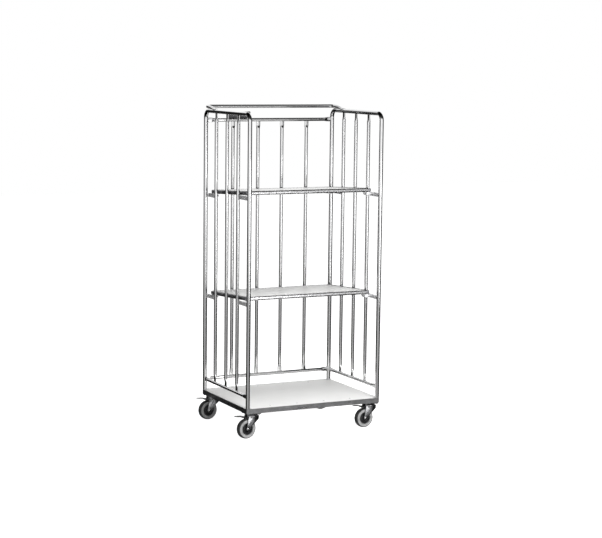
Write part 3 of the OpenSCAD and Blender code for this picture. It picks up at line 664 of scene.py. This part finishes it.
# ---------------------------------------------------------------- shelves
def shelf(name):
    """Edge and side profiles, corner mouldings, and the pegs in their brackets."""
    body = name + "_shelf"
    place = Matrix.Translation(Vector((MX, SHELF_BACK, SHELF_Z[name]))) @ Matrix.Rotation(-TILT, 4, "X")
    W, D, R = 0.700, 0.466, 0.024         # width, depth, corner radius
    E, H = 0.014, 0.020                   # section of the profiles

    def profile():
        """Nosed section: x outward from the inner lip, z down from the top."""
        pts = [(0.0, 0.0), (0.0035, 0.0), (0.0040, -0.0006), (0.0060, -0.0006), (0.0065, 0.0)]
        r = 0.0066
        for k in range(9):
            a = math.radians(90 - 90 * k / 8)
            pts.append((E - r + r * math.cos(a), -r + r * math.sin(a)))
        pts += [(E, -0.0088), (E - 0.0006, -0.0092), (E - 0.0006, -0.0110), (E, -0.0114)]
        for k in range(9):
            a = math.radians(-90 * k / 8)
            pts.append((E - r + r * math.cos(a), -H + r + r * math.sin(a)))
        pts += [(0.0, -H), (0.0, -H + 0.0016), (E - 0.005, -H + 0.0016), (E - 0.005, -0.0145), (0.0, -0.0145)]
        return pts

    sec = profile()

    def run(b, a, c, outward):
        """Straight profile from a to c, in shelf coordinates."""
        rings = []
        for p in (a, c):
            rings.append(b.ring([place @ (p + outward * (x - E) + EZ * z) for x, z in sec]))
        b.skin(rings)

    b = Build()
    for sy in (-1, 1):
        run(b, Vector((-W / 2 + R, sy * D / 2, 0)), Vector((W / 2 - R, sy * D / 2, 0)), EY * sy)
    b.done(name + "_edge_sections", EDGE, body, "edge_aluminium", name + "_shelf_long_profiles", sharp=32)
    b = Build()
    for sx in (-1, 1):
        run(b, Vector((sx * W / 2, -D / 2 + R, 0)), Vector((sx * W / 2, D / 2 - R, 0)), EX * sx)
    b.done(name + "_side_sections", SIDE, body, "side_steel", name + "_shelf_side_profiles", sharp=32)
    # each moulding turns the corner and tucks 4 mm into the profile on either side
    b = Build()
    for sx, sy in CORNERS:
        c = Vector((sx * (W / 2 - R), sy * (D / 2 - R), 0))
        rings = []
        for k in range(-1, 14):
            if 0 <= k <= 12:
                a = math.radians(90 * k / 12)
                d = Vector((sx * math.cos(a), sy * math.sin(a), 0))
                off, grow = Vector((0, 0, 0)), 0.0
            elif k < 0:
                d, off, grow = EX * sx, EY * (-sy * 0.004), -0.0003
            else:
                d, off, grow = EY * sy, EX * (-sx * 0.004), -0.0003
            pts = []
            for x, z in sec:
                xx = x + (0.0002 if x > 0.006 else 0) + grow
                pts.append(place @ (c + off + d * (R - E + xx - 0.0001) + EZ * z))
            rings.append(b.ring(pts))
        b.skin(rings)
    b.done(name + "_corner_mouldings", CAP, body, "cap_plastic", name + "_shelf_corner_caps", sharp=32)

    # pegs with turned ends, each in a folded bracket screwed up under the board
    b = Build()
    low = -PEG_DROP - PEG_R - 0.002
    reach = PX + 0.002 + 0.0014
    for sx, s in CORNERS:
        m = place @ placed(0, s * PEG_Y, -PEG_DROP, 90 * sx, "Y")
        disc(b, m, [(0.0058, 0.324), (PEG_R, 0.3245), (PEG_R, 0.340), (PEG_R, reach - 0.0016),
                    (0.0054, reach - 0.0004), (0.0040, reach)], 32)
        disc(b, m, [(PEG_R, 0.3352), (0.0076, 0.3354), (0.0078, 0.3362), (0.0074, 0.3370),
                    (PEG_R, 0.3372)], 28)
        x0, x1 = sorted((sx * 0.317, sx * 0.335))
        side = [(0.1904, -0.0142), (0.1904, low + 0.010), (0.1960, low + 0.001), (0.1980, low), (0.2290, low),
                (0.2308, low + 0.002), (0.2308, -0.0208), (0.2083, -0.0208), (0.2083, -0.0142)]
        b.skin([b.ring([place @ Vector((x, s * y, z)) for y, z in side])
                for x in (x0, x0 + 0.0008, x1 - 0.0008, x1)])
        screw = place @ placed(sx * 0.326, s * 0.2035, low)
        disc(b, screw, [(0.0028, 0.0010), (0.0038, 0.0002), (0.0038, -0.0008), (0.0026, -0.0016)], 18)
    b.done(name + "_peg_set", SUPPORT, body, "support_zinc", name + "_shelf_pegs", sharp=30)


shelf("upper")
shelf("lower")


# ---------------------------------------------------------------- casters
# tread rubber painted near black: painted shade on the running face, with dust speckle on top
SHADED_TREAD = rubber("tread_painted_shade", (0.055, 0.055, 0.055), (0.026, 0.026, 0.027))
SHIELD = brushed("bearing_shield", (0.52, 0.52, 0.53), (0.36, 0.36, 0.37), (1, 1, 1))
AX, AZ, CROWN = -0.029, 0.050, 0.113       # axle behind and above the swivel's foot, top of the fork
LEG_IN, LEG_T = 0.019, 0.003              # inner face and thickness of a fork leg


def outline_leg():
    """Fork leg: x along the trail, z up; round foot at the axle."""
    pts = []
    for k in range(13):
        a = math.radians(172 + 156 * k / 12)
        pts.append((AX + 0.0108 * math.cos(a), AZ + 0.0108 * math.sin(a)))
    pts += [(-0.0148, 0.0515), (-0.0060, 0.0635), (0.0060, 0.0755), (0.0180, 0.0860), (0.0290, 0.0955),
            (0.0318, 0.1000), (0.0328, 0.1110), (0.0312, 0.1155), (0.0280, 0.1168), (-0.0190, 0.1168),
            (-0.0240, 0.1155), (-0.0268, 0.1120), (-0.0300, 0.0960), (-0.0340, 0.0780), (-0.0380, 0.0620)]
    return pts


def sheet(b, outline, y, t, place, shrink=0.0):
    """Plate standing in the trail plane, from y to y + t."""
    cx = sum(p[0] for p in outline) / len(outline)
    cz = sum(p[1] for p in outline) / len(outline)
    rings = []
    for yy, k in ((y, 1 - shrink), (y + t * 0.12, 1.0), (y + t * 0.88, 1.0), (y + t, 1 - shrink)):
        rings.append(b.ring([place @ Vector((cx + (x - cx) * k, yy, cz + (z - cz) * k)) for x, z in outline]))
    b.skin(rings)


def both_sides(side):
    """Closes a half profile of (radius, along) with its mirror image."""
    return side + [(r, -h) for r, h in reversed(side)]


def caster(p, sx, sy, turn):
    """One braked swivel caster, drawn about its swivel axis with the wheel trailing to -X at turn 0."""
    place = placed(MX + sx * CAST_X, sy * CAST_Y, 0, turn)
    r3 = place.to_3x3()
    ux, uy = r3 @ EX, r3 @ EY
    swivel, wheel, brake = p + "_swivel", p + "_wheel", p + "_brake_pedal"

    # fork: two legs, bridge, back flange and the swivel head with its race
    b = Build()
    leg = outline_leg()
    for s in (-1, 1):
        y0 = LEG_IN if s > 0 else -LEG_IN - LEG_T
        sheet(b, leg, y0, LEG_T, place, 0.012)
        # pressed stiffening rib down the outside of the leg
        face = s * (LEG_IN + LEG_T - 0.0003)
        secs = []
        for k in range(15):
            t = k / 14
            c = Vector((-0.0255 + 0.0315 * t ** 1.5, face, 0.0640 + 0.0440 * t))
            w = 0.0034 * math.sin(math.pi * min(max(t, 0.02), 0.98)) ** 0.35
            secs.append((place @ c, ux, uy, w, 0.0009, 2))
        b.loft(secs, 16)
        # boss round the axle hole
        m = place @ placed(AX, s * (LEG_IN + LEG_T), AZ, -90 * s, "X")
        disc(b, m, [(0.0098, -0.0006), (0.0096, 0.0003), (0.0090, 0.0006), (0.0044, 0.0006)], 28)
    b.loft([(place @ Vector((x, 0, CROWN + 0.0019)), uy, EZ, LEG_IN + 0.0006, 0.0019, 6)
            for x in (-0.0215, -0.0205, 0.029, 0.0300)], 32)
    b.loft([(place @ Vector((0.0283, 0, z)), ux, uy, 0.0016, LEG_IN + 0.0006, 6)
            for z in (0.0925, 0.0935, 0.112, 0.1135)], 24)
    b.lathe([(0.0062, 0.0), (0.0330, 0.0), (0.0340, 0.0012), (0.0340, 0.0044), (0.0334, 0.0058),
             (0.0318, 0.0072), (0.0302, 0.0073), (0.0300, 0.0040), (0.0122, 0.0040), (0.0118, 0.0072),
             (0.0062, 0.0073)],
            place @ Vector((0, 0, CROWN)), EZ, 56)
    b.done(p + "_fork_pressing", CASTER, swivel, "caster_zinc", p + "_fork", sharp=34)

    # axle bolt, washers and locking nut
    b = Build()
    w = LEG_IN + LEG_T
    near = place @ placed(AX, -w, AZ, 90, "X")
    far = place @ placed(AX, w, AZ, -90, "X")
    for m in (near, far):
        disc(b, m, [(0.0078, 0.0006), (0.0080, 0.0009), (0.0080, 0.0017), (0.0076, 0.0019)], 32)
    hexagon(b, near, 0.0073, 0.0018, 0.0048, 0.3)
    disc(b, near, [(0.0050, 0.0046), (0.0044, 0.0050)], 24)
    hexagon(b, far, 0.0073, 0.0018, 0.0056, 0.1)
    disc(b, far, [(0.0050, 0.0050), (0.0050, 0.0060), (0.0042, 0.0062)], 24)
    disc(b, far, [(0.0038, -2 * w + 0.001), (0.0038, 0.0066), (0.0030, 0.0076)], 20)
    b.done(p + "_axle_bolt", BOLT, swivel, "bolt_zinc", p + "_axle", sharp=30)

    # tyre: grey side walls with a moulded ring, and a running face painted dark as shade
    hub = place @ Vector((AX, 0, AZ))
    b = Build()
    side = [(0.0302, 0.0128), (0.0312, 0.0146), (0.0325, 0.0155), (0.0338, 0.0150), (0.0352, 0.0157),
            (0.0405, 0.0160), (0.0425, 0.0156), (0.0432, 0.0158), (0.0448, 0.0150), (0.0458, 0.0138)]
    b.lathe(both_sides(side), hub, uy, 72)
    b.done(p + "_tyre_body", TYRE, wheel, "tyre_rubber", p + "_tyre", sharp=40)
    b = Build()
    run = [(0.0450, 0.0149), (0.0464, 0.0146), (0.0480, 0.0128), (0.0491, 0.0104), (0.0497, 0.0070),
           (0.0500, 0.0030)]
    b.lathe(both_sides(run), hub, uy, 72)
    b.done(p + "_tyre_tread", SHADED_TREAD, wheel, "tyre_rubber", sharp=40)

    # wheel centre: rim, recessed web with ribs, hub boss, bearing shields
    b = Build()
    core = [(0.0300, 0.0130), (0.0284, 0.0134), (0.0268, 0.0128), (0.0252, 0.0086), (0.0238, 0.0072),
            (0.0140, 0.0078), (0.0124, 0.0086), (0.0116, 0.0168), (0.0108, 0.0178), (0.0041, 0.0180)]
    b.lathe(both_sides(core), hub, uy, 64)
    for k in range(10):
        a = 2 * math.pi * k / 10
        d = ux * math.cos(a) + EZ * math.sin(a)
        v = uy.cross(d)
        for s in (-1, 1):
            secs = []
            for r, h in ((0.0112, 0.0150), (0.0160, 0.0112), (0.0220, 0.0100), (0.0262, 0.0112)):
                secs.append((hub + d * r + uy * (s * h * 0.5 + s * 0.003), v, uy, 0.0009, h * 0.5 - 0.003, 4))
            b.loft(secs, 10)
    b.done(p + "_wheel_centre", CORE, wheel, "wheel_plastic", p + "_wheel_core", sharp=34)
    b = Build()
    for s in (-1, 1):
        b.lathe([(0.0088, s * 0.0179), (0.0086, s * 0.0184), (0.0056, s * 0.0186), (0.0044, s * 0.0182),
                 (0.0044, s * 0.0179)], hub, uy, 40)
    b.done(p + "_bearing_shields", SHIELD, wheel, "wheel_plastic", sharp=30)

    # pedal: pressed lever with turned-down sides and grip ribs
    b = Build()
    # along the lever, its top, and its half width
    stations = [(-0.0085, 0.1102, 0.0160), (-0.0140, 0.1110, 0.0166), (-0.0210, 0.1113, 0.0168),
                (-0.0350, 0.1119, 0.0168), (-0.0430, 0.1136, 0.0168), (-0.0520, 0.1157, 0.0168),
                (-0.0620, 0.1165, 0.0167), (-0.0700, 0.1170, 0.0166), (-0.0790, 0.1176, 0.0150),
                (-0.0870, 0.1181, 0.0130), (-0.0930, 0.1185, 0.0096), (-0.0962, 0.1187, 0.0070),
                (-0.0965, 0.1183, 0.0054)]
    secs = []
    for x, z, h in stations:
        thick = 0.0013 if x > -0.09 else 0.0011
        secs.append((place @ Vector((x, 0, z - thick)), uy, EZ, h, thick, 7))
    b.loft(secs, 40)
    skirt = [(-0.0090, 0.1100), (-0.0090, 0.1045), (-0.0130, 0.1031), (-0.0165, 0.1040), (-0.0300, 0.1042),
             (-0.0470, 0.1047), (-0.0590, 0.1097), (-0.0680, 0.1132), (-0.0680, 0.1160), (-0.0520, 0.1150),
             (-0.0430, 0.1128), (-0.0350, 0.1110), (-0.0210, 0.1105)]
    for s in (-1, 1):
        sheet(b, skirt, 0.0148 if s > 0 else -0.0168, 0.0020, place, 0.01)
    for i in range(4):
        x = -0.0700 - i * 0.0060
        h = 0.0125 - i * 0.0018
        z = 0.1171 + i * 0.0004
        secs = []
        for k in range(9):
            y = -h + 2 * h * k / 8
            w = 0.0009 if 0 < k < 8 else 0.0004
            secs.append((place @ Vector((x - 0.002 * (1 - (y / h) ** 2), y, z)), ux, EZ, w * 1.3, w, 2))
        b.loft(secs, 10)
    b.done(p + "_brake_lever", PEDAL, brake, "pedal_steel", p + "_pedal", sharp=34)

    # rivet heads of the pedal's pivot
    b = Build()
    for s in (-1, 1):
        m = place @ placed(-0.013, s * (LEG_IN + LEG_T), 0.1075, -90 * s, "X")
        disc(b, m, [(0.0025, -0.018 if s > 0 else -0.012), (0.0025, 0.0001), (0.0040, 0.0001),
                    (0.0038, 0.0009), (0.0028, 0.0014), (0.0012, 0.0015)], 24)
    b.done(p + "_pivot_rivet", BOLT, swivel, "bolt_zinc", p + "_pedal_pin", sharp=30)


for p, sx, sy, turn in (("fl", -1, -1, 8), ("fr", 1, -1, 4), ("bl", -1, 1, 6), ("br", 1, 1, -4)):
    caster(p, sx, sy, turn)

# hex heads and washers under the four top plates
b = Build()
for sx, sy in CORNERS:
    for i, j in CORNERS:
        m = placed(MX + sx * CAST_X + i * 0.030, sy * CAST_Y + j * 0.030, 0.127, 180, "X")
        disc(b, m, [(0.0039, -0.009), (0.0039, 0.0), (0.0078, 0.0), (0.0080, 0.0003), (0.0080, 0.0011),
                    (0.0076, 0.0013)], 28)
        hexagon(b, m, 0.0065, 0.0012, 0.0049, 0.4 * i + 0.9 * j)
b.done("plate_bolts", BOLT, "chassis", "bolt_zinc", "caster_bolts", sharp=30)

# the flat parts keep the CAD mesh, with their edges eased
for node, width in (("deck_frame", 0.0008), ("caster_plates", 0.0006), ("deck_board", 0.0008),
                    ("upper_shelf_board", 0.0006), ("lower_shelf_board", 0.0006), ("caster_gussets", 0.0006)):
    soften(NODES[node], width)


# ---------------------------------------------------------------- studio
def white_floor():
    """Pale paper, white to the camera and left out of the metal's reflections."""
    s = 14
    me = bpy.data.meshes.new("floor")
    me.from_pydata([(-s, -s, 0), (s, -s, 0), (s, s, 0), (-s, s, 0)], [], [(0, 1, 2, 3)])
    obj = bpy.data.objects.new("floor", me)
    bpy.context.scene.collection.objects.link(obj)
    m = Mat("floor_paper", rough=0.9, spec=0.0)
    m.color(m.ramp(m.noise(2, 3), [(0.3, 0.88), (0.7, 0.90)]))
    m.p.inputs["Emission Color"].default_value = (1, 1, 1, 1)
    seen = m.n.new("ShaderNodeLightPath")
    m.link(m.math("MULTIPLY", seen.outputs["Is Camera Ray"], 0.93), m.p.inputs["Emission Strength"])
    me.materials.append(m.m)
    obj.visible_glossy = False


def surroundings():
    """White to the camera; what the plated tubes mirror is light in front and behind, dark at the sides."""
    world = bpy.data.worlds.new("studio")
    bpy.context.scene.world = world
    world.use_nodes = True
    n, link = world.node_tree.nodes, world.node_tree.links.new
    n["Background"].inputs["Strength"].default_value = 1.0
    direction = n.new("ShaderNodeTexCoord").outputs["Generated"]
    dot = n.new("ShaderNodeVectorMath")
    dot.operation = "DOT_PRODUCT"
    dot.inputs[1].default_value = Vector((-0.44, -0.90, 0.0)).normalized()
    link(direction, dot.inputs[0])
    sep = n.new("ShaderNodeSeparateXYZ")
    link(direction, sep.inputs[0])
    ahead, height = dot.outputs["Value"], sep.outputs["Z"]

    def curve(value, stops):
        """Brightness along a value that runs from -1 to 1."""
        half = n.new("ShaderNodeMath")
        half.operation = "MULTIPLY_ADD"
        half.inputs[1].default_value = 0.5
        half.inputs[2].default_value = 0.5
        link(value, half.inputs[0])
        ramp = n.new("ShaderNodeValToRGB")
        e = ramp.color_ramp.elements
        while len(e) < len(stops):
            e.new(0.5)
        for el, (pos, v) in zip(e, stops):
            el.position, el.color = pos * 0.5 + 0.5, (v, v, v, 1)
        link(half.outputs[0], ramp.inputs["Fac"])
        return ramp.outputs["Color"]

    def blend(mode, a, b):
        k = n.new("ShaderNodeMix")
        k.data_type, k.blend_type = "RGBA", mode
        k.inputs[0].default_value = 1
        link(a, k.inputs[6])
        link(b, k.inputs[7])
        return k.outputs[2]

    # a wide bright front for what the upper tubes mirror, a narrower and greyer one lower down
    wide = curve(ahead, [(-1, 0.95), (-0.84, 0.80), (-0.68, 0.012), (0.30, 0.012), (0.50, 0.50),
                         (0.70, 1.0), (1, 1.15)])
    narrow = curve(ahead, [(-1, 0.50), (-0.88, 0.40), (-0.74, 0.010), (0.52, 0.010), (0.82, 0.44), (1, 0.52)])
    high = curve(height, [(-1, 0.0), (-0.14, 0.0), (-0.065, 1.0), (0.25, 1.0), (0.5, 0.05), (1, 0.03)])
    low = curve(height, [(-1, 0.03), (-0.5, 0.08), (-0.30, 0.62), (-0.19, 0.80), (-0.13, 1.0),
                         (-0.055, 0.0), (1, 0.0)])
    # a strip behind and above the cart that only the side rails along Y can mirror
    behind = curve(ahead, [(-1, 0.0), (-0.97, 0.0), (-0.90, 0.85), (-0.62, 0.85), (-0.5, 0.0), (1, 0.0)])
    above = curve(height, [(-1, 0.0), (0.24, 0.0), (0.32, 1.0), (0.6, 1.0), (0.75, 0.0), (1, 0.0)])
    fronts = blend("ADD", blend("MULTIPLY", wide, high), blend("MULTIPLY", narrow, low))
    mirrored = blend("ADD", fronts, blend("MULTIPLY", behind, above))

    mix = n.new("ShaderNodeMix")
    mix.data_type = "RGBA"
    mix.inputs[7].default_value = (1, 1, 1, 1)
    link(n.new("ShaderNodeLightPath").outputs["Is Camera Ray"], mix.inputs[0])
    link(mirrored, mix.inputs[6])
    link(mix.outputs[2], n["Background"].inputs["Color"])


def soft_box(name, loc, aim, size, power, mirrored=False):
    """Rectangular lamp at loc that shines on aim."""
    lamp = bpy.data.lights.new(name, "AREA")
    lamp.shape = "RECTANGLE"
    lamp.size, lamp.size_y = size
    lamp.energy = power
    o = bpy.data.objects.new(name, lamp)
    o.location = loc
    o.rotation_mode = "QUATERNION"
    o.rotation_quaternion = (Vector(aim) - Vector(loc)).to_track_quat("-Z", "Y")
    o.visible_glossy = mirrored
    bpy.context.scene.collection.objects.link(o)


def studio():
    white_floor()
    surroundings()
    soft_box("key", (1.0, -5.4, 2.0), (0, 0, 0.5), (3.6, 2.4), 400)
    soft_box("top", (0.4, -1.2, 4.6), (0, 0, 0.5), (3.4, 3.4), 120)
    soft_box("low", (0.98, -3.3, 0.7), (-0.3, -0.28, 0.14), (0.5, 1.0), 8, mirrored=True)
    bpy.context.scene.view_settings.view_transform = "Standard"


studio()
